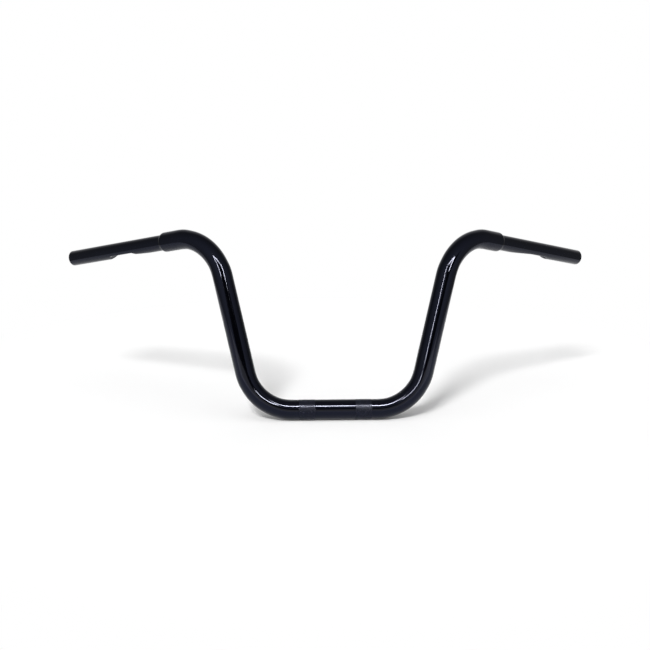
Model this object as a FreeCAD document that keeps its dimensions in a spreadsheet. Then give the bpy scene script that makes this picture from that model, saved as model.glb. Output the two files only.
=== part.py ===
import FreeCAD, Part
import math
import os

from FreeCAD import Placement, Rotation, Vector
from Sketcher import Constraint

# A tall one-piece motorcycle handlebar: a steel tube, bent four times and stepped down at both ends.
# Frame: origin on the tube's axis, midway between the two clamp bands. +X runs along the clamp stretch
# to the clutch side, +Y to the rider and +Z up. Lengths are in millimetres, angles in degrees.

SIZES = (
    ("tube_diameter", 31.75, "outside of the main tube"),
    ("grip_diameter", 25.4, "outside of the stepped-down ends"),
    ("wall", 3.05, "tube wall, the same all along"),
    ("clamp_straight", 133.7, "straight stretch between the two lower bends"),
    ("lower_bend_radius", 76.2, "to the tube's centre line"),
    ("lower_bend_angle", 77.3, "turn from the clamp stretch into an upright"),
    ("upright_straight", 155.1, "straight stretch of each upright"),
    ("upper_bend_radius", 71.5, "to the tube's centre line"),
    ("upper_bend_angle", 87.0, "turn from an upright into its grip"),
    ("pullback_angle", 35.0, "roll of the upper bends out of the plane of the uprights"),
    ("shoulder_straight", 27.1, "straight stretch between an upper bend and the step"),
    ("step_crown_radius", 8.0, "rounding of the step's outer edge"),
    ("step_root_radius", 0.8, "rounding of the step's inner corner"),
    ("grip_length", 202.4, "from the step's root to the open end"),
    ("end_chamfer", 1.5, "at the tube's open end"),
    ("clamp_spacing", 88.9, "between the middles of the two clamp bands"),
    ("clamp_band_width", 25.4, "along the tube"),
    ("clamp_band_rise", 0.08, "height of the knurl's crests over the tube"),
    ("dent_nose_radius", 6.5, "of the round bar that presses the wiring dents"),
    ("dent_path_radius", 30.0, "rounding between the slopes of a dent"),
    ("dent_start", 85.5, "from the open end to the outer rim of a dent"),
    ("dent_tail_start", 149.5, "from the open end to where the shallow tail starts"),
    ("dent_tail_depth", 1.45, "depth there"),
    ("dent_tail_end", 172.0, "from the open end to where the tail runs out"),
    ("throttle_dent_depth", 4.9, "depth of the floor on the throttle side"),
    ("throttle_dent_floor", 105.0, "from the open end to where that floor starts"),
    ("clutch_dent_depth", 3.1, "depth of the floor on the clutch side"),
    ("clutch_dent_floor", 97.0, "from the open end to where that floor starts"),
    ("dent_floor_length", 31.0, "along the grip"),
    ("lean_angle", 10.0, "of the uprights, back towards the rider"),
    ("overrun", 0.5, "how far a cutting shape runs on past the metal"),
)

doc = FreeCAD.newDocument("motorcycle_handlebar")
sheet = doc.addObject("Spreadsheet::Sheet", "sizes")
for row, (alias, value, note) in enumerate(SIZES, start=1):
    sheet.set(f"A{row}", alias)
    sheet.set(f"B{row}", str(value))
    sheet.set(f"C{row}", note)
    sheet.setAlias(f"B{row}", alias)
doc.recompute()


def measure(expression):
    """The value of an expression on the sheet's aliases."""
    return float(sheet.evalExpression(expression))


def feature(kind, name, **bindings):
    """A new object of the document, with its sizes bound to the sheet."""
    made = doc.addObject(kind, name)
    for prop, expression in bindings.items():
        made.setExpression(prop, expression)
    return made


class Bender:
    """Walks along the tube's centre line as a tube bender does: run straight, roll, bend.

    heading is the way ahead, and toward is the side that the next bend turns to.
    """

    def __init__(self):
        self.point = Vector(0, 0, 0)
        self.heading = Vector(1, 0, 0)
        self.toward = Vector(0, 0, 1)
        self.edges = []

    def straight(self, length):
        end = self.point + self.heading * length
        self.edges.append(Part.LineSegment(self.point, end).toShape())
        self.point = end

    def roll(self, degrees):
        self.toward = Rotation(self.heading, degrees).multVec(self.toward)

    def bend(self, radius, degrees):
        axis = self.heading.cross(self.toward)
        centre = self.point + self.toward * radius
        spoke = self.point - centre
        middle = centre + Rotation(axis, degrees / 2).multVec(spoke)
        turn = Rotation(axis, degrees)
        end = centre + turn.multVec(spoke)
        self.edges.append(Part.Arc(self.point, middle, end).toShape())
        self.point = end
        self.heading = turn.multVec(self.heading)
        self.toward = turn.multVec(self.toward)


def bend_half():
    """The clutch-side half of the tube, from the middle of the clamp stretch to the step."""
    half = Bender()
    half.straight(measure("clamp_straight / 2"))
    half.bend(measure("lower_bend_radius"), measure("lower_bend_angle"))
    half.straight(measure("upright_straight"))
    half.roll(180 + measure("pullback_angle"))
    half.bend(measure("upper_bend_radius"), measure("upper_bend_angle"))
    half.straight(measure("shoulder_straight"))
    return half


def mirrored(vector):
    """The same vector on the throttle side."""
    return Vector(-vector.x, vector.y, vector.z)


def round_bar(name, spine, radius):
    """A round bar of this radius along a spine, square to it at both ends."""
    first = spine.Shape.OrderedEdges[0]
    start = spine.Shape.OrderedVertexes[0].Point
    ahead = first.tangentAt(first.getParameterByLength(0))
    if (first.CenterOfMass - start).dot(ahead) < 0:
        ahead = -ahead
    section = feature("Part::Circle", f"{name}_section", Radius=radius)
    section.Placement = Placement(start, Rotation(Vector(0, 0, 1), ahead))
    bar = doc.addObject("Part::Sweep", name)
    bar.Sections = [section]
    bar.Spine = (spine, [f"Edge{i + 1}" for i in range(len(spine.Shape.Edges))])
    bar.Solid = True
    return bar


def step_length():
    """How far the step runs along the tube: two tangent arcs, crown and root, that share the drop."""
    arcs = measure("step_crown_radius + step_root_radius")
    drop = measure("(tube_diameter - grip_diameter) / 2")
    return math.sqrt(arcs**2 - (arcs - drop) ** 2)


def grip_end(name, frame):
    """The turned outside of a grip end, stepped down from the tube.

    Its sketch is a half section in the frame's XY plane: the tube's axis on X, the underside on +Y.
    """
    bindings = {
        "tube_radius": "sizes.tube_diameter / 2",
        "grip_radius": "sizes.grip_diameter / 2",
        "crown_radius": "sizes.step_crown_radius",
        "root_radius": "sizes.step_root_radius",
        "reach": "sizes.grip_length",
        "chamfer_along": "sizes.end_chamfer",
        "chamfer_across": "sizes.end_chamfer",
    }
    tube, grip, crown, root, length, chamfer, _ = (measure(text) for text in bindings.values())
    step = step_length()
    slope = math.asin(step / (crown + root))
    end = step + length
    up = math.pi / 2
    down = -up
    flat = Vector(0, 0, 1)
    crown_circle = Part.Circle(Vector(0, tube - crown, 0), flat, crown)
    root_circle = Part.Circle(Vector(step, grip + root, 0), flat, root)
    corner = Vector(end - chamfer, grip, 0)
    rim = Vector(end, grip - chamfer, 0)
    outline = [
        Part.LineSegment(Vector(0, 0, 0), Vector(0, tube, 0)),
        Part.ArcOfCircle(crown_circle, up - slope, up),
        Part.ArcOfCircle(root_circle, down - slope, down),
        Part.LineSegment(Vector(step, grip, 0), corner),
        Part.LineSegment(corner, rim),
        Part.LineSegment(rim, Vector(end, 0, 0)),
        Part.LineSegment(Vector(end, 0, 0), Vector(0, 0, 0)),
    ]
    face, crown_arc, root_arc, grip_line, chamfer_line, end_line, axis_line = range(len(outline))
    first, last, centre = 1, 2, 3
    origin = (-1, first)
    rules = [
        Constraint("Coincident", face, first, *origin),
        Constraint("Coincident", face, last, crown_arc, last),
        Constraint("Tangent", crown_arc, first, root_arc, first),
        Constraint("Tangent", root_arc, last, grip_line, first),
        Constraint("Coincident", grip_line, last, chamfer_line, first),
        Constraint("Coincident", chamfer_line, last, end_line, first),
        Constraint("Coincident", end_line, last, axis_line, first),
        Constraint("Coincident", axis_line, last, face, first),
        Constraint("Vertical", face),
        Constraint("Vertical", crown_arc, centre, crown_arc, last),
        Constraint("Horizontal", grip_line),
        Constraint("Vertical", end_line),
        Constraint("Horizontal", axis_line),
    ]
    driven = {
        "tube_radius": Constraint("DistanceY", *origin, face, last, tube),
        "grip_radius": Constraint("DistanceY", *origin, grip_line, first, grip),
        "crown_radius": Constraint("Radius", crown_arc, crown),
        "root_radius": Constraint("Radius", root_arc, root),
        "reach": Constraint("DistanceX", grip_line, first, end_line, last, length),
        "chamfer_along": Constraint("DistanceX", chamfer_line, first, chamfer_line, last, chamfer),
        "chamfer_across": Constraint("DistanceY", chamfer_line, last, chamfer_line, first, chamfer),
    }
    sketch = doc.addObject("Sketcher::SketchObject", f"{name}_profile")
    sketch.Placement = frame
    sketch.addGeometry(outline, False)
    sketch.addConstraint(rules)
    for alias, constraint in driven.items():
        index = sketch.addConstraint(constraint)
        sketch.renameConstraint(index, alias)
        sketch.setExpression(f"Constraints.{alias}", bindings[alias])
    turned = doc.addObject("Part::Revolution", name)
    turned.Source = sketch
    turned.Base = frame.Base
    turned.Axis = frame.Rotation.multVec(Vector(1, 0, 0))
    turned.Angle = 360
    turned.Solid = True
    return turned


def grip_bore(side, frame):
    """The hole through a grip end: a taper under the step, then a plain bore to the open end."""
    taper = feature(
        "Part::Cone",
        f"{side}_bore_taper",
        Radius1="sizes.tube_diameter / 2 - sizes.wall",
        Radius2="sizes.grip_diameter / 2 - sizes.wall",
    )
    taper.Height = step_length()
    bore = feature(
        "Part::Cylinder",
        f"{side}_grip_bore",
        Radius="sizes.grip_diameter / 2 - sizes.wall",
        Height="sizes.grip_length + sizes.overrun",
    )
    along = Rotation(Vector(0, 0, 1), Vector(1, 0, 0))
    taper.Placement = frame * Placement(Vector(0, 0, 0), along)
    bore.Placement = frame * Placement(Vector(step_length(), 0, 0), along)
    return [taper, bore]


def rounded_wire(points, radius):
    """Straight runs from point to point, with a tangent arc of this radius at each corner."""
    edges = []
    start = points[0]
    for before, corner, after in zip(points, points[1:], points[2:]):
        arrive = (corner - before).normalize()
        leave = (after - corner).normalize()
        half_turn = arrive.getAngle(leave) / 2
        reach = radius * math.tan(half_turn)
        inward = (leave - arrive).normalize()
        middle = corner + inward * radius * (1 / math.cos(half_turn) - 1)
        arc_start = corner - arrive * reach
        arc_end = corner + leave * reach
        edges.append(Part.LineSegment(start, arc_start).toShape())
        edges.append(Part.Arc(arc_start, middle, arc_end).toShape())
        start = arc_end
    edges.append(Part.LineSegment(start, points[-1]).toShape())
    return Part.Wire(edges)


def dent_path(side, end_frame):
    """Where the axis of the pressing bar lies when a wiring dent is fully pressed.

    Along the grip's underside: a ramp down to the floor, the floor, a ramp up and a shallow tail.
    """
    depth = measure(f"{side}_dent_depth")
    floor_start = measure(f"{side}_dent_floor")
    floor_end = floor_start + measure("dent_floor_length")
    tail_depth = measure("dent_tail_depth")
    tail_start = measure("dent_tail_start")
    ramp_run = (floor_start - measure("dent_start")) / depth
    tail_run = (measure("dent_tail_end") - tail_start) / tail_depth
    clear = measure("overrun")
    stations = (
        (measure("dent_start") - clear * ramp_run, -clear),
        (floor_start, depth),
        (floor_end, depth),
        (tail_start, tail_depth),
        (measure("dent_tail_end") + clear * tail_run, -clear),
    )
    touching = measure("grip_diameter / 2 + dent_nose_radius")
    points = [Vector(-from_end, touching - deep, 0) for from_end, deep in stations]
    path = doc.addObject("Part::Feature", f"{side}_dent_path")
    path.Shape = rounded_wire(points, measure("dent_path_radius"))
    path.Placement = end_frame
    return path


def clamp_band(side, sign):
    """The slightly raised band that a riser clamp bites on."""
    band = feature(
        "Part::Cylinder",
        f"{side}_clamp_band",
        Radius="sizes.tube_diameter / 2 + sizes.clamp_band_rise",
        Height="sizes.clamp_band_width",
    )
    middle = sign * measure("clamp_spacing / 2")
    start = Vector(middle - measure("clamp_band_width / 2"), 0, 0)
    band.Placement = Placement(start, Rotation(Vector(0, 0, 1), Vector(1, 0, 0)))
    return band


def fused(name, shapes):
    whole = doc.addObject("Part::MultiFuse", name)
    whole.Shapes = shapes
    return whole


def cut(name, base, tool):
    left = doc.addObject("Part::Cut", name)
    left.Base = base
    left.Tool = tool
    return left


half = bend_half()
centre_line = doc.addObject("Part::Feature", "centre_line")
other_half = [edge.mirror(Vector(0, 0, 0), Vector(1, 0, 0)) for edge in half.edges]
centre_line.Shape = Part.Wire(Part.__sortEdges__(other_half + half.edges))

metal = [round_bar("tube_outside", centre_line, "sizes.tube_diameter / 2")]
hollow = [round_bar("tube_bore", centre_line, "sizes.tube_diameter / 2 - sizes.wall")]
presses = []
bulges = []
for side, sign in (("clutch", 1), ("throttle", -1)):
    turned_to = (half.point, half.heading, half.toward)
    if sign < 0:
        turned_to = tuple(mirrored(vector) for vector in turned_to)
    point, outboard, under = turned_to
    frame = Placement(point, Rotation(outboard, under, outboard.cross(under), "XYZ"))
    metal.append(grip_end(f"{side}_grip_outside", frame))
    metal.append(clamp_band(side, sign))
    hollow.extend(grip_bore(side, frame))

    end_frame = frame * Placement(Vector(step_length() + measure("grip_length"), 0, 0), Rotation())
    path = dent_path(side, end_frame)
    presses.append(round_bar(f"{side}_dent_press", path, "sizes.dent_nose_radius"))
    bulges.append(round_bar(f"{side}_dent_bulge", path, "sizes.dent_nose_radius + sizes.wall"))

# A dent moves the wall inwards without thinning it: what the press takes from the outside, the bulge,
# which is one wall larger all round, gives back to the metal inside.
outside = cut("outside", fused("solid_bar", metal), fused("dent_presses", presses))
bore = cut("bore", fused("straight_bore", hollow), fused("dent_bulges", bulges))
handlebar = cut("handlebar", outside, bore)
handlebar.Label = "handlebar"
handlebar.Refine = True
handlebar.Placement = Placement(Vector(0, 0, 0), Rotation(Vector(-1, 0, 0), measure("lean_angle")))
doc.recompute()

failed = [made.Name for made in doc.Objects if {"Invalid", "Error"} & set(made.State)]
if failed:
    raise RuntimeError(f"these objects failed: {failed}")
for made in doc.Objects:
    if hasattr(made, "Shape") and (made.Shape.isNull() or not made.Shape.isValid()):
        raise RuntimeError(f"{made.Name} has no valid shape")
if len(handlebar.Shape.Solids) != 1:
    raise RuntimeError(f"the handlebar is {len(handlebar.Shape.Solids)} solids, not one")

os.makedirs("parts", exist_ok=True)
handlebar.Shape.exportStep(f"parts/{handlebar.Label}.step")
box = handlebar.Shape.BoundBox
print(f"{handlebar.Label}: {box.XLength:.1f} x {box.YLength:.1f} x {box.ZLength:.1f} mm")
print(f"metal {handlebar.Shape.Volume / 1000:.1f} cm3, {len(handlebar.Shape.Faces)} faces")
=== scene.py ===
# %% [markdown]
# # A tall black motorcycle handlebar
# The real part is one steel tube: bent four times, stepped down to grip size at both ends, knurled in
# two bands where the riser clamps bite, and coated gloss black all over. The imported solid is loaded
# first, because every piece made here has to sit exactly where the solid is.

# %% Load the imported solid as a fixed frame
import math
from collections import namedtuple

import bmesh
import bpy
from mathutils import Matrix, Vector


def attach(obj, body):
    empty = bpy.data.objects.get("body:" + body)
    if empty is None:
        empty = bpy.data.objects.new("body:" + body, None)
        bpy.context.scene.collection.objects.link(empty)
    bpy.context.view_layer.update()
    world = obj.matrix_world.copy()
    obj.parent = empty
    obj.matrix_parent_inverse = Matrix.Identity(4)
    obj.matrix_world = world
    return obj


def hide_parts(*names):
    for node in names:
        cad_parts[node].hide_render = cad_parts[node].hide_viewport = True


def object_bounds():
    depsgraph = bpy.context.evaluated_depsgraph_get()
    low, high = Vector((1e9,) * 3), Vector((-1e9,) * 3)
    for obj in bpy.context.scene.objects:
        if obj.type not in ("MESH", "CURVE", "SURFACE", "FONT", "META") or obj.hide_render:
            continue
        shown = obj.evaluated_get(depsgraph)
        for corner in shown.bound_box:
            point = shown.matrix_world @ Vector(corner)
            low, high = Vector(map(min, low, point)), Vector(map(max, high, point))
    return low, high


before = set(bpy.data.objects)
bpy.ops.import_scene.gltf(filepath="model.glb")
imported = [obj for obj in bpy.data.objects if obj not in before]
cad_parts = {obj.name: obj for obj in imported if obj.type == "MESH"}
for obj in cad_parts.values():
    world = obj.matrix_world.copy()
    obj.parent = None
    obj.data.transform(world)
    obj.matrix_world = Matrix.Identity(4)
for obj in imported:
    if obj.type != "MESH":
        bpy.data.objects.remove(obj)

cad_box = [list(corner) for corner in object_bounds()]
print("solid's box in metres", cad_box)

# %% [markdown]
# ## The camera
# The picture was matched on the flat plane that the two uprights and the clamp stretch share: the lens
# stands 3.2 degrees round to one side of that plane's square-on view and 4.3 degrees above it, tipped by
# a hair. The bar leans back 10 degrees, so the same lens ends up about 14 degrees above the floor.
# A chain of small turns says this more plainly than one row of angles would.

# %% Place the camera
MM = 0.001
LEAN = math.radians(10.0)
SIDEWAYS = math.radians(3.2013)
ABOVE = math.radians(4.3371)
TIPPED = math.radians(-0.072)
LENS_IN_VIEW = Vector((-15.67, -1622.5, 133.6)) * MM
FOCAL_LENGTH = 56.73
SENSOR_WIDTH = 36.0

lean_back = Matrix.Rotation(-LEAN, 3, "X")
view_turn = lean_back @ Matrix.Rotation(-SIDEWAYS, 3, "Z") @ Matrix.Rotation(-ABOVE, 3, "X")
camera = bpy.data.objects.new("camera", bpy.data.cameras.new("camera"))
camera.data.lens = FOCAL_LENGTH
camera.data.sensor_width = SENSOR_WIDTH
looking_ahead = Matrix.Rotation(math.radians(90.0), 3, "X") @ Matrix.Rotation(TIPPED, 3, "Z")
camera.matrix_world = Matrix.LocRotScale(view_turn @ LENS_IN_VIEW, view_turn @ looking_ahead, None)
bpy.context.scene.collection.objects.link(camera)
bpy.context.scene.camera = camera
print("camera at", [round(x, 4) for x in camera.matrix_world.translation])

# %% [markdown]
# ## The bend program
# A tube bender knows a bar as a list: run straight, roll, bend. The same list is walked here, and it
# leaves stops along the centre line. A bend needs a stop every degree or two to look round, and a
# straight run needs almost none, so an even spacing would waste most of the mesh.

# %% Walk along the centre line
CLAMP_STRAIGHT = 133.7
LOWER_BEND = (76.2, 77.3)
UPRIGHT = 155.1
UPPER_BEND = (71.5, 87.0)
PULLBACK = 35.0
SHOULDER = 27.1


class TubeBender:
    """Runs, rolls and bends in millimetres; toward is the side that the next bend turns to."""

    def __init__(self):
        self.point = Vector((0, 0, 0))
        self.heading = Vector((1, 0, 0))
        self.toward = Vector((0, 0, 1))

    def run(self, length):
        self.point = self.point + self.heading * length

    def roll(self, degrees):
        self.toward = Matrix.Rotation(math.radians(degrees), 3, self.heading) @ self.toward

    def bend(self, radius, degrees):
        turn = Matrix.Rotation(math.radians(degrees), 3, self.heading.cross(self.toward))
        centre = self.point + self.toward * radius
        self.point = centre + turn @ (self.point - centre)
        self.heading = turn @ self.heading
        self.toward = turn @ self.toward


def bend_in_steps(bender, bend, step):
    """Bends a little at a time and yields the share of the bend that is done after each step."""
    radius, degrees = bend
    count = math.ceil(degrees / step)
    for i in range(count):
        bender.bend(radius, degrees / count)
        yield (i + 1) / count


walker = TubeBender()
walker.run(CLAMP_STRAIGHT / 2)
walker.bend(*LOWER_BEND)
walker.run(UPRIGHT)
walker.roll(180 + PULLBACK)
walker.bend(*UPPER_BEND)
walker.run(SHOULDER)
print("the step starts at", [round(x, 2) for x in lean_back @ walker.point])

# %% [markdown]
# ## The step and the open end
# The ends are swaged: the tube drops from 31.75 to 25.4 mm over a rounded crown and a tight root, and
# the open end has a soft edge. Each is a short list of distance and radius. The bore has a list of its
# own, one wall further in, and both lists meet halfway across the end face.

# %% Radius along a grip end, outside and bore
TUBE_RADIUS = 31.75 / 2
GRIP_RADIUS = 25.4 / 2
WALL = 3.05
CROWN, ROOT = 8.0, 0.8
GRIP_LENGTH = 202.4
EDGE = 1.5
BORE_EDGE = 0.5
END_DOME = 0.05
CROWN_STEPS, ROOT_STEPS, EDGE_STEPS = 9, 6, 7

step_slope = math.acos(1 - (TUBE_RADIUS - GRIP_RADIUS) / (CROWN + ROOT))
STEP = (CROWN + ROOT) * math.sin(step_slope)
GRIP_END = STEP + GRIP_LENGTH
RIM_MIDDLE = (GRIP_RADIUS - EDGE + GRIP_RADIUS - WALL + BORE_EDGE) / 2


def swept_angles(first, last, count):
    return [first + (last - first) * i / count for i in range(count + 1)]


def outside_end(dent_stops):
    """Pairs of distance from the step's start and radius, out to the middle of the end face."""
    crown = [(CROWN * math.sin(a), TUBE_RADIUS - CROWN * (1 - math.cos(a)))
             for a in swept_angles(0, step_slope, CROWN_STEPS)]
    root = [(STEP - ROOT * math.sin(a), GRIP_RADIUS + ROOT * (1 - math.cos(a)))
            for a in swept_angles(step_slope, 0, ROOT_STEPS)[1:]]
    edge = [(GRIP_END - EDGE * (1 - math.sin(a)), GRIP_RADIUS - EDGE * (1 - math.cos(a)))
            for a in swept_angles(0, math.pi / 2, EDGE_STEPS)]
    grip = [(GRIP_END - from_end, GRIP_RADIUS) for from_end in dent_stops]
    return crown + root + grip + edge + [(GRIP_END + END_DOME, RIM_MIDDLE)]


def bore_end(dent_stops):
    """The same for the bore: a taper under the step, a plain hole and a small edge at the mouth."""
    bore = GRIP_RADIUS - WALL
    taper = [(0, TUBE_RADIUS - WALL), (STEP, bore)]
    grip = [(GRIP_END - from_end, bore) for from_end in dent_stops]
    mouth = [(GRIP_END - BORE_EDGE, bore), (GRIP_END, bore + BORE_EDGE)]
    return taper + grip + mouth + [(GRIP_END + END_DOME, RIM_MIDDLE)]


print(f"the step is {STEP:.2f} mm long, the end {GRIP_END:.2f} mm from its start")

# %% [markdown]
# ## The wiring dents
# Under each grip the wall has been pressed in by a broad, slightly rounded die, so that switch wires can
# pass below the grip's sleeve. The throttle side is deeper. A table of depths, with its corners rounded
# by averaging over a short window, says how low the die comes at each stop. The die is much broader than
# the tube, so the dent shows in the bar's outline; a narrow one would hide behind its own rims.

# %% Depth of the dents along the grips
DENT_NOSE = 60.0
DENT_START = {"clutch": 82.5, "throttle": 85.0}
DENT_FLOOR = {"clutch": (87.0, 126.0, 3.8), "throttle": (92.0, 140.0, 5.7)}
DENT_TAIL = (145.5, 2.1)
DENT_END = 168.0
DENT_EASING = 1.8
EASING_SAMPLES = 6
SLOPE_PAST_END = 0.2
STOPS_BEFORE, STOPS_PAST = 11.0, 16.0


def dent_depth(side, from_end):
    """Depth of a dent's middle line, from straight slopes that run on below zero past both ends."""
    first = DENT_START[side]
    floor_start, floor_end, depth = DENT_FLOOR[side]
    table = [(first, 0.0), (floor_start, depth), (floor_end, depth), DENT_TAIL, (DENT_END, 0.0)]
    for (start, low), (stop, high) in zip(table, table[1:]):
        if start <= from_end <= stop:
            return low + (high - low) * (from_end - start) / (stop - start)
    slope = depth / (floor_start - first) if from_end < first else SLOPE_PAST_END
    return -slope * max(first - from_end, from_end - DENT_END)


def press_height(side, from_end):
    """How far below the grip's axis the middle of the die's rounding is."""
    window = [DENT_EASING * i / EASING_SAMPLES for i in range(-EASING_SAMPLES, EASING_SAMPLES + 1)]
    depth = sum(dent_depth(side, from_end + w) for w in window) / len(window)
    return GRIP_RADIUS + DENT_NOSE - depth


def dent_stops(spacing):
    """Distances from the open end where the dents need a stop, the far ones first."""
    first, last = DENT_END + STOPS_PAST, min(DENT_START.values()) - STOPS_BEFORE
    count = round((first - last) / spacing)
    return [first + (last - first) * i / count for i in range(count + 1)]


for side in DENT_FLOOR:
    deepest = max(GRIP_RADIUS + DENT_NOSE - press_height(side, d) for d in dent_stops(spacing=1.0))
    print(f"{side} dent is {deepest:.2f} mm deep")

# %% [markdown]
# ## Two skins along one line
# The outside and the bore are two skins on the same centre line, so each becomes a thin wire of stops
# that carries its own numbers: radius, underside, press height and distance to the open mouth. Storing
# them as attributes lets Geometry Nodes do the rest. Under the clamp bands the outside drops back a
# little, and makes room for the knurl. A bent tube is never quite round: its bends flatten by a few
# hundredths towards the middle of the turn, so each stop in a bend also carries a squeeze.

# %% Stops along the clamp stretch
BAND_MIDDLE = 88.9 / 2
BAND_WIDTH = 25.4
BAND_RECESS = 0.42
BAND_RAMP = 0.15
BAND_HOLD = 0.25


def clamp_stops(inset):
    """Pairs of distance from the middle and radius along half of the clamp stretch.

    A second stop close beside each end of a ramp keeps the smooth shading of the straight tube straight.
    The bore has no bands, so it needs no more than its two ends.
    """
    radius = TUBE_RADIUS - inset
    stops = [(0, radius)]
    edges = ((BAND_MIDDLE - BAND_WIDTH / 2, 0, BAND_RECESS),
             (BAND_MIDDLE + BAND_WIDTH / 2, BAND_RECESS, 0))
    for edge, before, after in () if inset else edges:
        stops += [(edge - BAND_RAMP - BAND_HOLD, radius - before), (edge - BAND_RAMP, radius - before),
                  (edge + BAND_RAMP, radius - after), (edge + BAND_RAMP + BAND_HOLD, radius - after)]
    return stops + [(CLAMP_STRAIGHT / 2, radius)]


print("half of the clamp stretch has", len(clamp_stops(0)), "stops outside and",
      len(clamp_stops(WALL)), "in the bore")

# %% How far the bends flatten
LOWER_FLATTENING, UPPER_FLATTENING = 0.025, 0.055
FLATTENING_EASE = 0.22


def squeeze(flattening, share):
    """Root of the flattening at this share of a bend, none at both ends; the tree squares it."""
    inside = min(share, 1 - share, FLATTENING_EASE) / FLATTENING_EASE
    return math.sqrt(flattening) * inside * inside * (3 - 2 * inside)


for flattening in (LOWER_FLATTENING, UPPER_FLATTENING):
    print(f"a bend is flatter by {squeeze(flattening, 0.5) ** 2:.3f} in its middle")

# %% Stops along half of a skin
UPRIGHT_STOPS = 4
PRESS_BEFORE, PRESS_PAST = 10.0, 15.0
FAR_AWAY = 1000.0
OUTSIDE_BEND_STEP, OUTSIDE_DENT_SPACING = 1.8, 1.25

Stop = namedtuple("Stop", "point radius underside press from_end squeezed")


def half_skin(side, inset, bend_step, end_profile):
    """The stops of one half, from the middle of the bar to the open end."""
    bender = TubeBender()
    stops = []
    main = TUBE_RADIUS - inset

    def stop(radius, from_end=FAR_AWAY, squeezed=0.0):
        near_dent = DENT_START[side] - PRESS_BEFORE < from_end < DENT_END + PRESS_PAST
        press = press_height(side, from_end) if near_dent else FAR_AWAY
        stops.append(Stop(bender.point.copy(), radius, bender.toward.copy(),
                          press, from_end, squeezed))

    walked = 0
    for along, radius in clamp_stops(inset):
        bender.run(along - walked)
        walked = along
        stop(radius)
    for share in bend_in_steps(bender, LOWER_BEND, bend_step):
        stop(main, squeezed=squeeze(LOWER_FLATTENING, share))
    for _ in range(UPRIGHT_STOPS):
        bender.run(UPRIGHT / UPRIGHT_STOPS)
        stop(main)
    bender.roll(180 + PULLBACK)
    for share in bend_in_steps(bender, UPPER_BEND, bend_step):
        stop(main, squeezed=squeeze(UPPER_FLATTENING, share))
    bender.run(SHOULDER)
    walked = 0
    for along, radius in end_profile:
        bender.run(along - walked)
        walked = along
        stop(radius, GRIP_END - along)
    return stops


outside_profile = outside_end(dent_stops(OUTSIDE_DENT_SPACING))
clutch_half = half_skin("clutch", 0, OUTSIDE_BEND_STEP, outside_profile)
print("the clutch half has", len(clutch_half), "stops outside")

# %% Wires of stops, one for each skin
BORE_BEND_STEP, BORE_DENT_SPACING = 4.0, 2.5


def skin_wire(name, inset, bend_step, end_profile):
    """A mesh of points and edges from the throttle end to the clutch end, in metres."""
    clutch = half_skin("clutch", inset, bend_step, end_profile)
    throttle = half_skin("throttle", inset, bend_step, end_profile)
    other_way = Matrix.Diagonal(Vector((-1, 1, 1)))
    turned = [stop._replace(point=other_way @ stop.point, underside=other_way @ stop.underside)
              for stop in reversed(throttle[1:])]
    stops = turned + clutch
    wire = bpy.data.meshes.new(name)
    points = [lean_back @ stop.point * MM for stop in stops]
    wire.from_pydata(points, [(i, i + 1) for i in range(len(points) - 1)], [])
    sizes = {"skin_radius": [stop.radius for stop in stops],
             "press_height": [stop.press for stop in stops],
             "mouth_distance": [stop.from_end for stop in stops]}
    for label, values in sizes.items():
        numbers = wire.attributes.new(label, "FLOAT", "POINT")
        numbers.data.foreach_set("value", [value * MM for value in values])
    lengths = {"underside": [1.0] * len(stops), "squeeze": [stop.squeezed for stop in stops]}
    for label, values in lengths.items():
        arrows = wire.attributes.new(label, "FLOAT_VECTOR", "POINT")
        arrows.data.foreach_set("vector", [x for stop, value in zip(stops, values)
                                           for x in lean_back @ stop.underside * value])
    return wire


bore_profile = bore_end(dent_stops(BORE_DENT_SPACING))
outside_wire = skin_wire("outside_wire", 0, OUTSIDE_BEND_STEP, outside_profile)
bore_wire = skin_wire("bore_wire", WALL, BORE_BEND_STEP, bore_profile)
print("stops outside", len(outside_wire.vertices), "and in the bore", len(bore_wire.vertices))

# %% [markdown]
# ## Small helpers for node trees
# Node trees get long when every node takes four lines. One helper adds a node, sets its options and
# plugs in its inputs; another lists the named inputs of a tree, and a third runs the tree and keeps
# the result as a plain mesh, because live modifiers and instances are lost on export.

# %% Helpers that add nodes
def add_node(tree, kind, inputs=None, **options):
    """A node with its options set, and each input linked to a socket or given a value."""
    node = tree.nodes.new(kind)
    for option, value in options.items():
        setattr(node, option, value)
    for socket, value in (inputs or {}).items():
        if isinstance(value, bpy.types.NodeSocket):
            tree.links.new(value, node.inputs[socket])
        else:
            node.inputs[socket].default_value = value
    return node


def math_node(tree, operation, *values):
    node = add_node(tree, "ShaderNodeMath", dict(enumerate(values)), operation=operation)
    return node.outputs[0]


def vector_node(tree, operation, *values):
    node = add_node(tree, "ShaderNodeVectorMath", dict(enumerate(values)), operation=operation)
    return node.outputs["Value" if operation in ("DOT_PRODUCT", "LENGTH") else "Vector"]


def named(tree, label, kind="FLOAT"):
    node = add_node(tree, "GeometryNodeInputNamedAttribute", {"Name": label}, data_type=kind)
    return node.outputs["Attribute"]


print("node helpers ready")

# %% Helpers that make a tree and run it
def geometry_tree(name, sockets):
    """An empty geometry tree with these named inputs, and its input and output nodes."""
    tree = bpy.data.node_groups.new(name, "GeometryNodeTree")
    tree.interface.new_socket("Geometry", in_out="INPUT", socket_type="NodeSocketGeometry")
    tree.interface.new_socket("Geometry", in_out="OUTPUT", socket_type="NodeSocketGeometry")
    for label, kind in sockets.items():
        tree.interface.new_socket(label, in_out="INPUT", socket_type=f"NodeSocket{kind}")
    return tree, tree.nodes.new("NodeGroupInput"), tree.nodes.new("NodeGroupOutput")


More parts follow.
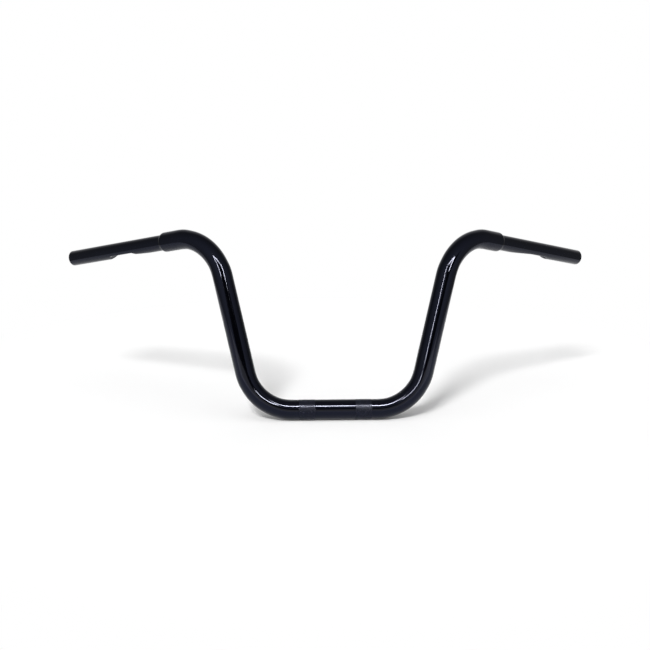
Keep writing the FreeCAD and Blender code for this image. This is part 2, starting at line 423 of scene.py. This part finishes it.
def run_tree(tree, start, values):
    """The plain mesh that a tree makes from a start mesh; inputs are set by their identifiers."""
    holder = bpy.data.objects.new("holder", start)
    bpy.context.scene.collection.objects.link(holder)
    modifier = holder.modifiers.new("nodes", "NODES")
    modifier.node_group = tree
    identifiers = {item.name: item.identifier for item in tree.interface.items_tree
                   if item.in_out == "INPUT"}
    for label, value in values.items():
        modifier[identifiers[label]] = value
    depsgraph = bpy.context.evaluated_depsgraph_get()
    made = bpy.data.meshes.new_from_object(holder.evaluated_get(depsgraph))
    bpy.data.objects.remove(holder)
    return made


print("tree helpers ready")

# %% [markdown]
# ## The gloss black coat
# The coat is baked powder: almost pure black, glossy, and very slightly wavy, as every sprayed coat is.
# What looks navy is its reflection, so the blue goes into the Principled shader's Specular Tint and not
# into its Base Color. Three noises at the scales of real coats give the rest: a slow drift of the black,
# fine changes of gloss, and the ripple of a sprayed coat, about 3 mm from crest to crest.

# %% Helpers for finishes
def object_noise(tree, scale, detail, roughness=0.5):
    place = add_node(tree, "ShaderNodeTexCoord").outputs["Object"]
    inputs = {"Vector": place, "Scale": scale, "Detail": detail, "Roughness": roughness}
    return add_node(tree, "ShaderNodeTexNoise", inputs).outputs["Fac"]


def ramp(tree, factor, stops):
    """A colour ramp from position and grey or colour pairs."""
    node = add_node(tree, "ShaderNodeValToRGB", {"Fac": factor})
    elements = node.color_ramp.elements
    while len(elements) < len(stops):
        elements.new(0.5)
    for element, (position, colour) in zip(elements, stops):
        element.position = position
        element.color = (*colour, 1) if isinstance(colour, tuple) else (colour, colour, colour, 1)
    return node.outputs["Color"]


def new_material(name):
    material = bpy.data.materials.new(name)
    material.use_nodes = True
    return material, material.node_tree, material.node_tree.nodes["Principled BSDF"]


def plug(tree, shader, **sockets):
    for label, value in sockets.items():
        socket = shader.inputs[label.replace("_", " ")]
        if isinstance(value, bpy.types.NodeSocket):
            tree.links.new(value, socket)
        else:
            socket.default_value = value


def bump(tree, height, strength, distance):
    inputs = {"Strength": strength, "Distance": distance, "Height": height}
    return add_node(tree, "ShaderNodeBump", inputs).outputs["Normal"]


print("finish helpers ready")

# %% Gloss coat material
COAT_IOR = 1.37
NAVY_REFLECTION = (0.54, 0.61, 1.0, 1)

gloss_coat, tree, shader = new_material("gloss_black_coat")
drift = object_noise(tree, scale=14.0, detail=3.0)
gloss = object_noise(tree, scale=90.0, detail=4.0)
ripple = object_noise(tree, scale=330.0, detail=1.5)
plug(tree, shader,
     Base_Color=ramp(tree, drift, [(0.3, (0.0004, 0.0005, 0.0010)), (0.7, (0.0009, 0.0010, 0.0020))]),
     Roughness=ramp(tree, gloss, [(0.3, 0.05), (0.7, 0.085)]),
     Normal=bump(tree, ripple, strength=0.08, distance=0.0004),
     IOR=COAT_IOR, Specular_Tint=NAVY_REFLECTION)
print("material", gloss_coat.name)

# %% [markdown]
# ## Inside the bore
# Powder is blown from outside, so the coat reaches a finger's width into the open ends and then thins
# out to plain drawn steel. The stops carry their distance to the mouth, and a noise on top of it keeps
# the coat's edge from being a neat line.

# %% Bore material
COAT_THINS = (0.022, 0.050)
COAT_WANDERS = 0.03
THIN_COAT = (0.008, 0.008, 0.011, 1)
# A Mix node has sockets for each kind of value; these are the places of its colour sockets.
FIRST_COLOUR, SECOND_COLOUR, MIXED_COLOUR = 6, 7, 2

bore_finish, tree, shader = new_material("overspray_on_bare_bore")
mouth = add_node(tree, "ShaderNodeAttribute", attribute_name="mouth_distance").outputs["Fac"]
speckle = object_noise(tree, scale=260.0, detail=5.0, roughness=0.65)
reach = math_node(tree, "MULTIPLY_ADD", speckle, COAT_WANDERS, mouth)
thinning = {"Value": reach, "From Min": COAT_THINS[0], "From Max": COAT_THINS[1]}
bare = add_node(tree, "ShaderNodeMapRange", thinning).outputs["Result"]
steel = ramp(tree, speckle, [(0.3, (0.16, 0.15, 0.14)), (0.7, (0.30, 0.29, 0.28))])
mixed = add_node(tree, "ShaderNodeMix", {"Factor": bare}, data_type="RGBA")
mixed.inputs[FIRST_COLOUR].default_value = THIN_COAT
tree.links.new(steel, mixed.inputs[SECOND_COLOUR])
plug(tree, shader, Base_Color=mixed.outputs[MIXED_COLOUR], Metallic=bare,
     Roughness=ramp(tree, speckle, [(0.3, 0.42), (0.7, 0.62)]),
     Normal=bump(tree, speckle, strength=0.25, distance=0.0003))
print("material", bore_finish.name)

# %% [markdown]
# ## The tube as a swept skin
# A tube could be a bevelled curve, but a bevel has no bore, no step and no dents. In this tree a wire
# becomes a curve, a circle is swept along it with the radius that each stop carries, and every point
# that lies below the pressing die is pushed up to it. A smooth minimum does the pushing, so the rim of
# a dent is rolled over softly as pressed steel is, not cut sharp. In the bends the circle is squeezed
# towards the middle of the turn.

# %% The tree that sweeps one skin
tree, given, result = geometry_tree("swept_skin", {
    "Points around": "Int", "Press nose": "Float", "Rim softness": "Float",
    "Facing inwards": "Bool", "Finish": "Material"})
line = add_node(tree, "GeometryNodeMeshToCurve", {"Mesh": given.outputs["Geometry"]})
place = add_node(tree, "GeometryNodeInputPosition").outputs["Position"]
marked = add_node(tree, "GeometryNodeStoreNamedAttribute",
                  {"Geometry": line.outputs["Curve"], "Name": "stop", "Value": place},
                  data_type="FLOAT_VECTOR", domain="POINT")
circle = add_node(tree, "GeometryNodeCurvePrimitiveCircle",
                  {"Resolution": given.outputs["Points around"], "Radius": 1.0})
swept = add_node(tree, "GeometryNodeCurveToMesh",
                 {"Curve": marked.outputs["Geometry"], "Profile Curve": circle.outputs["Curve"],
                  "Scale": named(tree, "skin_radius")})
print("tree", tree.name, "sweeps with", len(tree.nodes), "nodes")

# %% The same tree presses the dents and flattens the bends
spoke = vector_node(tree, "SUBTRACT", place, named(tree, "stop", "FLOAT_VECTOR"))
down = named(tree, "underside", "FLOAT_VECTOR")
low = vector_node(tree, "DOT_PRODUCT", spoke, down)
square = vector_node(tree, "DOT_PRODUCT", spoke, spoke)
aside = math_node(tree, "SUBTRACT", square, math_node(tree, "MULTIPLY", low, low))
nose = given.outputs["Press nose"]
under_nose = math_node(tree, "SUBTRACT", math_node(tree, "MULTIPLY", nose, nose), aside)
drop = math_node(tree, "SQRT", math_node(tree, "MAXIMUM", under_nose, 0.0))
pressed_to = math_node(tree, "SUBTRACT", named(tree, "press_height"), drop)
lowest = math_node(tree, "SMOOTH_MIN", low, pressed_to, given.outputs["Rim softness"])
push_length = math_node(tree, "SUBTRACT", lowest, low)
push = add_node(tree, "ShaderNodeVectorMath", {0: down, "Scale": push_length}, operation="SCALE")
towards_turn = named(tree, "squeeze", "FLOAT_VECTOR")
inwards = math_node(tree, "MULTIPLY", vector_node(tree, "DOT_PRODUCT", spoke, towards_turn), -1.0)
flatten = add_node(tree, "ShaderNodeVectorMath", {0: towards_turn, "Scale": inwards},
                   operation="SCALE")
moved = vector_node(tree, "ADD", push.outputs["Vector"], flatten.outputs["Vector"])
pressed = add_node(tree, "GeometryNodeSetPosition",
                   {"Geometry": swept.outputs["Mesh"], "Offset": moved})
turned = add_node(tree, "GeometryNodeFlipFaces",
                  {"Mesh": pressed.outputs["Geometry"], "Selection": given.outputs["Facing inwards"]})
smooth = add_node(tree, "GeometryNodeSetShadeSmooth", {"Geometry": turned.outputs["Mesh"]})
whole = add_node(tree, "GeometryNodeRealizeInstances", {"Geometry": smooth.outputs["Geometry"]})
finished = add_node(tree, "GeometryNodeSetMaterial",
                    {"Geometry": whole.outputs["Geometry"], "Material": given.outputs["Finish"]})
tree.links.new(finished.outputs["Geometry"], result.inputs["Geometry"])
skin_tree = tree
print("tree", skin_tree.name, "with", len(skin_tree.nodes), "nodes")

# %% Sweep both skins
AROUND = 128
RIM_SOFTNESS = 1.5

outside_skin = run_tree(skin_tree, outside_wire, {
    "Points around": AROUND, "Press nose": DENT_NOSE * MM, "Rim softness": RIM_SOFTNESS * MM,
    "Facing inwards": False, "Finish": gloss_coat})
bore_skin = run_tree(skin_tree, bore_wire, {
    "Points around": AROUND, "Press nose": (DENT_NOSE + WALL) * MM, "Rim softness": RIM_SOFTNESS * MM,
    "Facing inwards": True, "Finish": bore_finish})
print("outside", len(outside_skin.polygons), "faces, bore", len(bore_skin.polygons), "faces")

# %% Join the skins at the open ends
RIM_GAP = 2e-5
CM3_PER_M3 = 1e6


def join_skins(name, skins, gap):
    """One closed mesh of several skins whose rims meet, with the materials that they bring."""
    shell = bmesh.new()
    materials = []
    for skin in skins:
        first_new = len(shell.faces)
        shell.from_mesh(skin)
        shell.faces.ensure_lookup_table()
        for face in shell.faces[first_new:]:
            face.material_index = len(materials)
        materials.append(skin.materials[0])
    bmesh.ops.remove_doubles(shell, verts=shell.verts, dist=gap)
    open_edges = [edge for edge in shell.edges if not edge.is_manifold]
    volume = shell.calc_volume(signed=True)
    mesh = bpy.data.meshes.new(name)
    shell.to_mesh(mesh)
    shell.free()
    for material in materials:
        mesh.materials.append(material)
    print(name, "has", len(mesh.polygons), "faces,", len(open_edges), "open edges,",
          f"{volume * CM3_PER_M3:.1f} cm3 of metal")
    return mesh


tube_mesh = join_skins("coated_tube", [outside_skin, bore_skin], RIM_GAP)
coated_tube = bpy.data.objects.new("coated_tube", tube_mesh)
bpy.context.scene.collection.objects.link(coated_tube)
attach(coated_tube, "root")
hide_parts("handlebar")

# %% [markdown]
# ## The knurled clamp bands
# A knurling tool rolls two sets of slanted grooves into the tube, and what stays between them is a net
# of small flat-topped diamonds that the clamps bite on. The net of groove bottoms is drawn first as
# a sleeve of flat diamonds. Geometry Nodes then raise every diamond and shrink its top, which gives the
# sloped flanks without modelling one of them by hand.

# %% A sleeve of flat diamonds
DIAMONDS_AROUND = 64
HALF_ROWS = 18
GROOVE_DEPTH, CREST_RISE, SLEEVE_DEPTH = 0.36, 0.08, 0.8
GROOVE_RADIUS = TUBE_RADIUS - GROOVE_DEPTH
CREST_RADIUS = TUBE_RADIUS + CREST_RISE
SLEEVE_RADIUS = TUBE_RADIUS - SLEEVE_DEPTH


def diamond_sleeve(start):
    """Points and faces of one band from this distance on, and which faces are diamonds."""
    points, faces, is_tooth = [], [], []

    def ring(distance, radius, shift):
        first = len(points)
        for i in range(DIAMONDS_AROUND):
            angle = 2 * math.pi * (i + shift) / DIAMONDS_AROUND
            points.append((distance, radius * math.cos(angle), radius * math.sin(angle)))
        return first

    def add(corners, tooth):
        faces.append(corners)
        is_tooth.append(tooth)

    row = BAND_WIDTH / HALF_ROWS
    rings = [ring(start + j * row, GROOVE_RADIUS, 0.5 * (j % 2)) for j in range(HALF_ROWS + 1)]
    sleeve = [ring(start, SLEEVE_RADIUS, 0), ring(start + BAND_WIDTH, SLEEVE_RADIUS, 0)]
    last = HALF_ROWS
    for i in range(DIAMONDS_AROUND):
        after = (i + 1) % DIAMONDS_AROUND
        for j in range(HALF_ROWS - 1):
            before_i, after_i = ((i - 1) % DIAMONDS_AROUND, i) if j % 2 == 0 else (i, after)
            add((rings[j] + i, rings[j + 1] + after_i, rings[j + 2] + i, rings[j + 1] + before_i), True)
        add((rings[0] + i, rings[0] + after, rings[1] + i), True)
        add((rings[last] + i, rings[last - 1] + i, rings[last] + after), True)
        add((sleeve[0] + i, sleeve[0] + after, rings[0] + after, rings[0] + i), False)
        add((rings[last] + i, rings[last] + after, sleeve[1] + after, sleeve[1] + i), False)
        add((sleeve[1] + i, sleeve[1] + after, sleeve[0] + after, sleeve[0] + i), False)
    return points, faces, is_tooth


print("diamonds on one band", sum(diamond_sleeve(0)[2]))

# %% Both bands as one net
def band_net():
    """Both bands as one mesh in metres, with a mark on the faces that are diamonds."""
    net = bmesh.new()
    mark = net.faces.layers.bool.new("is_diamond")
    for middle in (-BAND_MIDDLE, BAND_MIDDLE):
        points, faces, is_tooth = diamond_sleeve(middle - BAND_WIDTH / 2)
        corners = [net.verts.new(lean_back @ Vector(point) * MM) for point in points]
        for face, tooth in zip(faces, is_tooth):
            net.faces.new([corners[i] for i in face])[mark] = tooth
    bmesh.ops.recalc_face_normals(net, faces=net.faces)
    open_edges = sum(not edge.is_manifold for edge in net.edges)
    mesh = bpy.data.meshes.new("band_net")
    net.to_mesh(mesh)
    net.free()
    print("net of", len(mesh.polygons), "faces with", open_edges, "open edges")
    return mesh


knurl_net = band_net()

# %% [markdown]
# The coat on the knurl is the same powder; it lies thin on the crests and thick in the grooves, so it
# looks duller than the tube. Its base colour is greyer too: painted sheen for the light the rough crests
# spread.

# %% Knurl material
knurl_coat, tree, shader = new_material("dull_knurl_coat_with_painted_sheen")
grain = object_noise(tree, scale=900.0, detail=3.0)
cloud = object_noise(tree, scale=120.0, detail=3.0)
# The base colour is lighter than the gloss coat's: painted sheen, in place of the reflection the rough
# knurl spreads.
plug(tree, shader,
     Base_Color=ramp(tree, cloud, [(0.3, (0.0070, 0.0078, 0.0125)), (0.7, (0.0120, 0.0130, 0.0200))]),
     Roughness=ramp(tree, grain, [(0.3, 0.20), (0.7, 0.30)]),
     Normal=bump(tree, grain, strength=0.15, distance=0.0001),
     IOR=COAT_IOR, Specular_Tint=NAVY_REFLECTION)
print("material", knurl_coat.name)

# %% The tree that raises the diamonds
DIAMOND_TOP = 0.78

tree, given, result = geometry_tree("raised_diamonds", {
    "Height": "Float", "Top size": "Float", "Finish": "Material"})
raised = add_node(tree, "GeometryNodeExtrudeMesh",
                  {"Mesh": given.outputs["Geometry"], "Selection": named(tree, "is_diamond", "BOOLEAN"),
                   "Offset Scale": given.outputs["Height"], "Individual": True}, mode="FACES")
shrunk = add_node(tree, "GeometryNodeScaleElements",
                  {"Geometry": raised.outputs["Mesh"], "Selection": raised.outputs["Top"],
                   "Scale": given.outputs["Top size"]}, domain="FACE")
whole = add_node(tree, "GeometryNodeRealizeInstances", {"Geometry": shrunk.outputs["Geometry"]})
finished = add_node(tree, "GeometryNodeSetMaterial",
                    {"Geometry": whole.outputs["Geometry"], "Material": given.outputs["Finish"]})
tree.links.new(finished.outputs["Geometry"], result.inputs["Geometry"])
knurl_mesh = run_tree(tree, knurl_net, {
    "Height": (CREST_RADIUS - GROOVE_RADIUS) * MM, "Top size": DIAMOND_TOP, "Finish": knurl_coat})
knurl_mesh.name = "clamp_knurls"
clamp_knurls = bpy.data.objects.new("clamp_knurls", knurl_mesh)
bpy.context.scene.collection.objects.link(clamp_knurls)
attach(clamp_knurls, "root")
print("knurls have", len(knurl_mesh.polygons), "faces")

# %% [markdown]
# ## The floor
# The bar stands on a round sheet of white paper. Close to the bar the paper is an ordinary matt surface,
# which keeps the shadow, with a faint lift that takes it from nearly white to white. Towards its edge it
# fades to even white, so that no edge shows. Both are only for rays that come from the camera or from
# gloss; for all other light the paper stays matt.

# %% White paper material
PAPER_MIDDLE = (0.0, 0.1, 0.0)
EVEN_WHITE = (0.56, 0.77)
WHITE_LIFT = 0.062

paper, tree, shader = new_material("white_paper")
fibre = object_noise(tree, scale=700.0, detail=4.0)
plug(tree, shader, Base_Color=ramp(tree, fibre, [(0.3, 0.895), (0.7, 0.905)]),
     Roughness=0.9, Specular_IOR_Level=0.0, Emission_Color=(1, 1, 1, 1))
place = add_node(tree, "ShaderNodeTexCoord").outputs["Object"]
middle = vector_node(tree, "SUBTRACT", place, PAPER_MIDDLE)
far = add_node(tree, "ShaderNodeMapRange",
               {"Value": vector_node(tree, "LENGTH", middle),
                "From Min": EVEN_WHITE[0], "From Max": EVEN_WHITE[1]}, interpolation_type="SMOOTHSTEP")
seen = add_node(tree, "ShaderNodeLightPath")
shown = math_node(tree, "MAXIMUM", seen.outputs["Is Camera Ray"], seen.outputs["Is Glossy Ray"])
shown = math_node(tree, "MAXIMUM", shown, seen.outputs["Is Transmission Ray"])
plug(tree, shader, Emission_Strength=math_node(tree, "MULTIPLY", shown, WHITE_LIFT))
white = add_node(tree, "ShaderNodeEmission", {"Color": (1, 1, 1, 1), "Strength": 1.0})
blend = add_node(tree, "ShaderNodeMixShader",
                 {0: math_node(tree, "MULTIPLY", far.outputs["Result"], shown),
                  1: shader.outputs["BSDF"], 2: white.outputs["Emission"]})
tree.links.new(blend.outputs["Shader"], tree.nodes["Material Output"].inputs["Surface"])
print("material", paper.name)

# %% Round sheet of paper
FLOOR_LEVEL = cad_box[0][2]
PAPER_RADIUS = 0.82
PAPER_SEGMENTS = 96

round_sheet = bmesh.new()
bmesh.ops.create_circle(round_sheet, cap_ends=True, segments=PAPER_SEGMENTS, radius=PAPER_RADIUS)
sheet_middle = Vector(PAPER_MIDDLE) + Vector((0, 0, FLOOR_LEVEL))
bmesh.ops.translate(round_sheet, verts=round_sheet.verts, vec=sheet_middle)
sheet = bpy.data.meshes.new("paper_floor")
round_sheet.to_mesh(sheet)
round_sheet.free()
sheet.materials.append(paper)
paper_floor = bpy.data.objects.new("paper_floor", sheet)
bpy.context.scene.collection.objects.link(paper_floor)
print("floor at", round(FLOOR_LEVEL, 5))

# %% [markdown]
# ## The room around the bar
# Gloss black shows nothing but its surroundings, so the surroundings do most of the work. The world is
# a grey tent, brightest in front on both sides of the camera, dim at the sides and lighter again at the
# back, with a dark gap where the camera looks in and white paper behind the bar. The camera itself sees
# that white in every direction, and gloss sees it where the paper hangs. A direction is an arrow of
# length 1, so each span below is a span of one of its parts, from -1 to 1.

# %% A grey tent all round
TENT_GREYS = [(0.0, 0.80), (0.12, 0.76), (0.28, 0.52), (0.45, 0.34),
              (0.60, 0.22), (0.72, 0.20), (0.85, 0.50), (1.0, 0.70)]

world = bpy.data.worlds.new("light_tent")
bpy.context.scene.world = world
world.use_nodes = True
tree = world.node_tree
background = tree.nodes["Background"]
way = add_node(tree, "ShaderNodeTexCoord").outputs["Generated"]
parts = add_node(tree, "ShaderNodeSeparateXYZ", {"Vector": way})
front_to_back = math_node(tree, "MULTIPLY_ADD", parts.outputs["Y"], 0.5, 0.5)
tent = ramp(tree, front_to_back, TENT_GREYS)
print("tent with", len(TENT_GREYS), "greys from front to back")

# %% A dark gap where the camera looks in
GAP_ACROSS = (-0.40, 0.26)
GAP_FOOT = (-0.26, 0.02)
GAP_TOP = (0.51, 0.57)
GAP_SLANT = 1.6
GAP_SLANT_END = 0.2
GAP_SOFTNESS = 0.06
GAP_GLOW = 0.03
BACK_HALF = (-0.3, 0.0)


def soft_step(tree, value, start, stop):
    inputs = {"Value": value, "From Min": start, "From Max": stop}
    node = add_node(tree, "ShaderNodeMapRange", inputs, interpolation_type="SMOOTHSTEP")
    return node.outputs["Result"]


def outside_span(tree, value, start, stop, softness):
    """0 between start and stop and 1 outside, with soft edges."""
    middle, half = (start + stop) / 2, (stop - start) / 2
    offset = math_node(tree, "ABSOLUTE", math_node(tree, "SUBTRACT", value, middle))
    return soft_step(tree, offset, half - softness / 2, half + softness / 2)


low_part = math_node(tree, "MINIMUM", parts.outputs["Z"], GAP_SLANT_END)
slanted = math_node(tree, "MULTIPLY_ADD", low_part, -GAP_SLANT, parts.outputs["X"])
above_foot = soft_step(tree, parts.outputs["Z"], *GAP_FOOT)
above_top = soft_step(tree, parts.outputs["Z"], *GAP_TOP)
beside_gap = outside_span(tree, slanted, *GAP_ACROSS, GAP_SOFTNESS)
below_gap = math_node(tree, "SUBTRACT", 1.0, above_foot)
beyond_ends = math_node(tree, "MAXIMUM", below_gap, above_top)
outside_gap = math_node(tree, "MAXIMUM", beside_gap, beyond_ends)
behind = soft_step(tree, parts.outputs["Y"], *BACK_HALF)
lit = math_node(tree, "MAXIMUM", math_node(tree, "MAXIMUM", outside_gap, behind), GAP_GLOW)
dimmed = add_node(tree, "ShaderNodeVectorMath", {0: tent, "Scale": lit}, operation="SCALE")
tree.links.new(dimmed.outputs["Vector"], background.inputs["Color"])
print("gap from", GAP_FOOT[0], "to", GAP_TOP[1], "in height")

# %% White paper behind the bar
PAPER_HANGS = (0.88, 0.96)

backdrop = add_node(tree, "ShaderNodeBackground", {"Color": (1, 1, 1, 1), "Strength": 1.0})
paper_side = soft_step(tree, parts.outputs["Y"], *PAPER_HANGS)
seen = add_node(tree, "ShaderNodeLightPath")
by_gloss = math_node(tree, "MAXIMUM", seen.outputs["Is Glossy Ray"],
                     seen.outputs["Is Transmission Ray"])
paper_in_gloss = math_node(tree, "MULTIPLY", by_gloss, paper_side)
shown = math_node(tree, "MAXIMUM", seen.outputs["Is Camera Ray"], paper_in_gloss)
choice = add_node(tree, "ShaderNodeMixShader",
                  {0: shown, 1: background.outputs["Background"], 2: backdrop.outputs["Background"]})
tree.links.new(choice.outputs["Shader"], tree.nodes["World Output"].inputs["Surface"])
print("world", world.name)

# %% [markdown]
# ## The lamps
# A key lamp from high on the left lights the paper and draws the soft shadow behind the bar, and a broad
# top lamp adds the faint one right under it. Gloss doesn't see these two. Slim strip lamps stand around
# the camera: one overhead, one on each side and a low one in front. A gloss tube turns each of them into
# a thin bright line, and those lines tell the eye how round the tube is. The strips are kept out of
# diffuse light, so that the paper stays evenly lit. The overhead strip is close to the upper bends and
# would be too strong there, so it points down in front of the clamps and has a narrow spread, as a
# lamp with a grid has.

# %% Helpers that place lamps
def towards(azimuth, elevation):
    """A direction from the bar: azimuth 0 is to the camera's side, positive to the clutch side."""
    a, e = math.radians(azimuth), math.radians(elevation)
    return Vector((math.sin(a) * math.cos(e), -math.cos(a) * math.cos(e), math.sin(e)))


BAR_MIDDLE = Vector((0.0, 0.05, 0.12))


def add_lamp(name, kind, azimuth, elevation, distance, aim=BAR_MIDDLE, **settings):
    """A lamp that stands this far from the middle of the bar and points at its aim."""
    lamp = bpy.data.lights.new(name, kind)
    for setting, value in settings.items():
        setattr(lamp, setting, value)
    holder = bpy.data.objects.new(name, lamp)
    place = BAR_MIDDLE + towards(azimuth, elevation) * distance
    holder.matrix_world = Matrix.LocRotScale(place, (place - aim).to_track_quat("Z", "Y"), None)
    bpy.context.scene.collection.objects.link(holder)
    return holder


WARM_WHITE = (1.0, 0.91, 0.68)


def add_strip(name, azimuth, elevation, distance, width, height, radiance, **settings):
    """A lamp that only gloss can see; a narrow spread gathers its light ahead."""
    power = radiance * math.pi * width * height
    strip = add_lamp(name, "AREA", azimuth, elevation, distance, shape="RECTANGLE",
                     size=width, size_y=height, energy=power, color=WARM_WHITE, **settings)
    strip.visible_diffuse = False
    strip.visible_camera = False
    return strip


print("lamps stand around", [round(x, 3) for x in BAR_MIDDLE])

# %% Key lamp, top lamp and strip lamps
IN_FRONT_OF_CLAMPS = Vector((0.0, -0.09, 0.0))

key_lamp = add_lamp("key_lamp", "SUN", azimuth=-24.0, elevation=48.0, distance=2.0,
                    energy=2.27, angle=math.radians(15.0))
top_lamp = add_lamp("top_lamp", "SUN", azimuth=0.0, elevation=84.0, distance=2.0,
                    energy=0.40, angle=math.radians(40.0))
for lamp in (key_lamp, top_lamp):
    lamp.visible_glossy = False
add_strip("overhead_strip", azimuth=0.0, elevation=47.0, distance=0.60, width=0.56, height=0.038,
          radiance=29.0, aim=IN_FRONT_OF_CLAMPS, spread=math.radians(64.0))
add_strip("left_strip", azimuth=-19.0, elevation=24.0, distance=2.2, width=0.08, height=1.2,
          radiance=105.0)
add_strip("right_strip", azimuth=19.0, elevation=28.4, distance=2.2, width=0.12, height=1.0,
          radiance=125.0)
add_strip("front_fill", azimuth=0.0, elevation=-15.8, distance=0.312, width=1.0, height=0.10,
          radiance=1.3)
print("lamps", [lamp.name for lamp in bpy.data.lights])

# %% [markdown]
# ## View colours
# Standard view colours keep white paper white.

# %% View colours and finish
bpy.context.scene.view_settings.view_transform = "Standard"
bpy.context.view_layer.update()
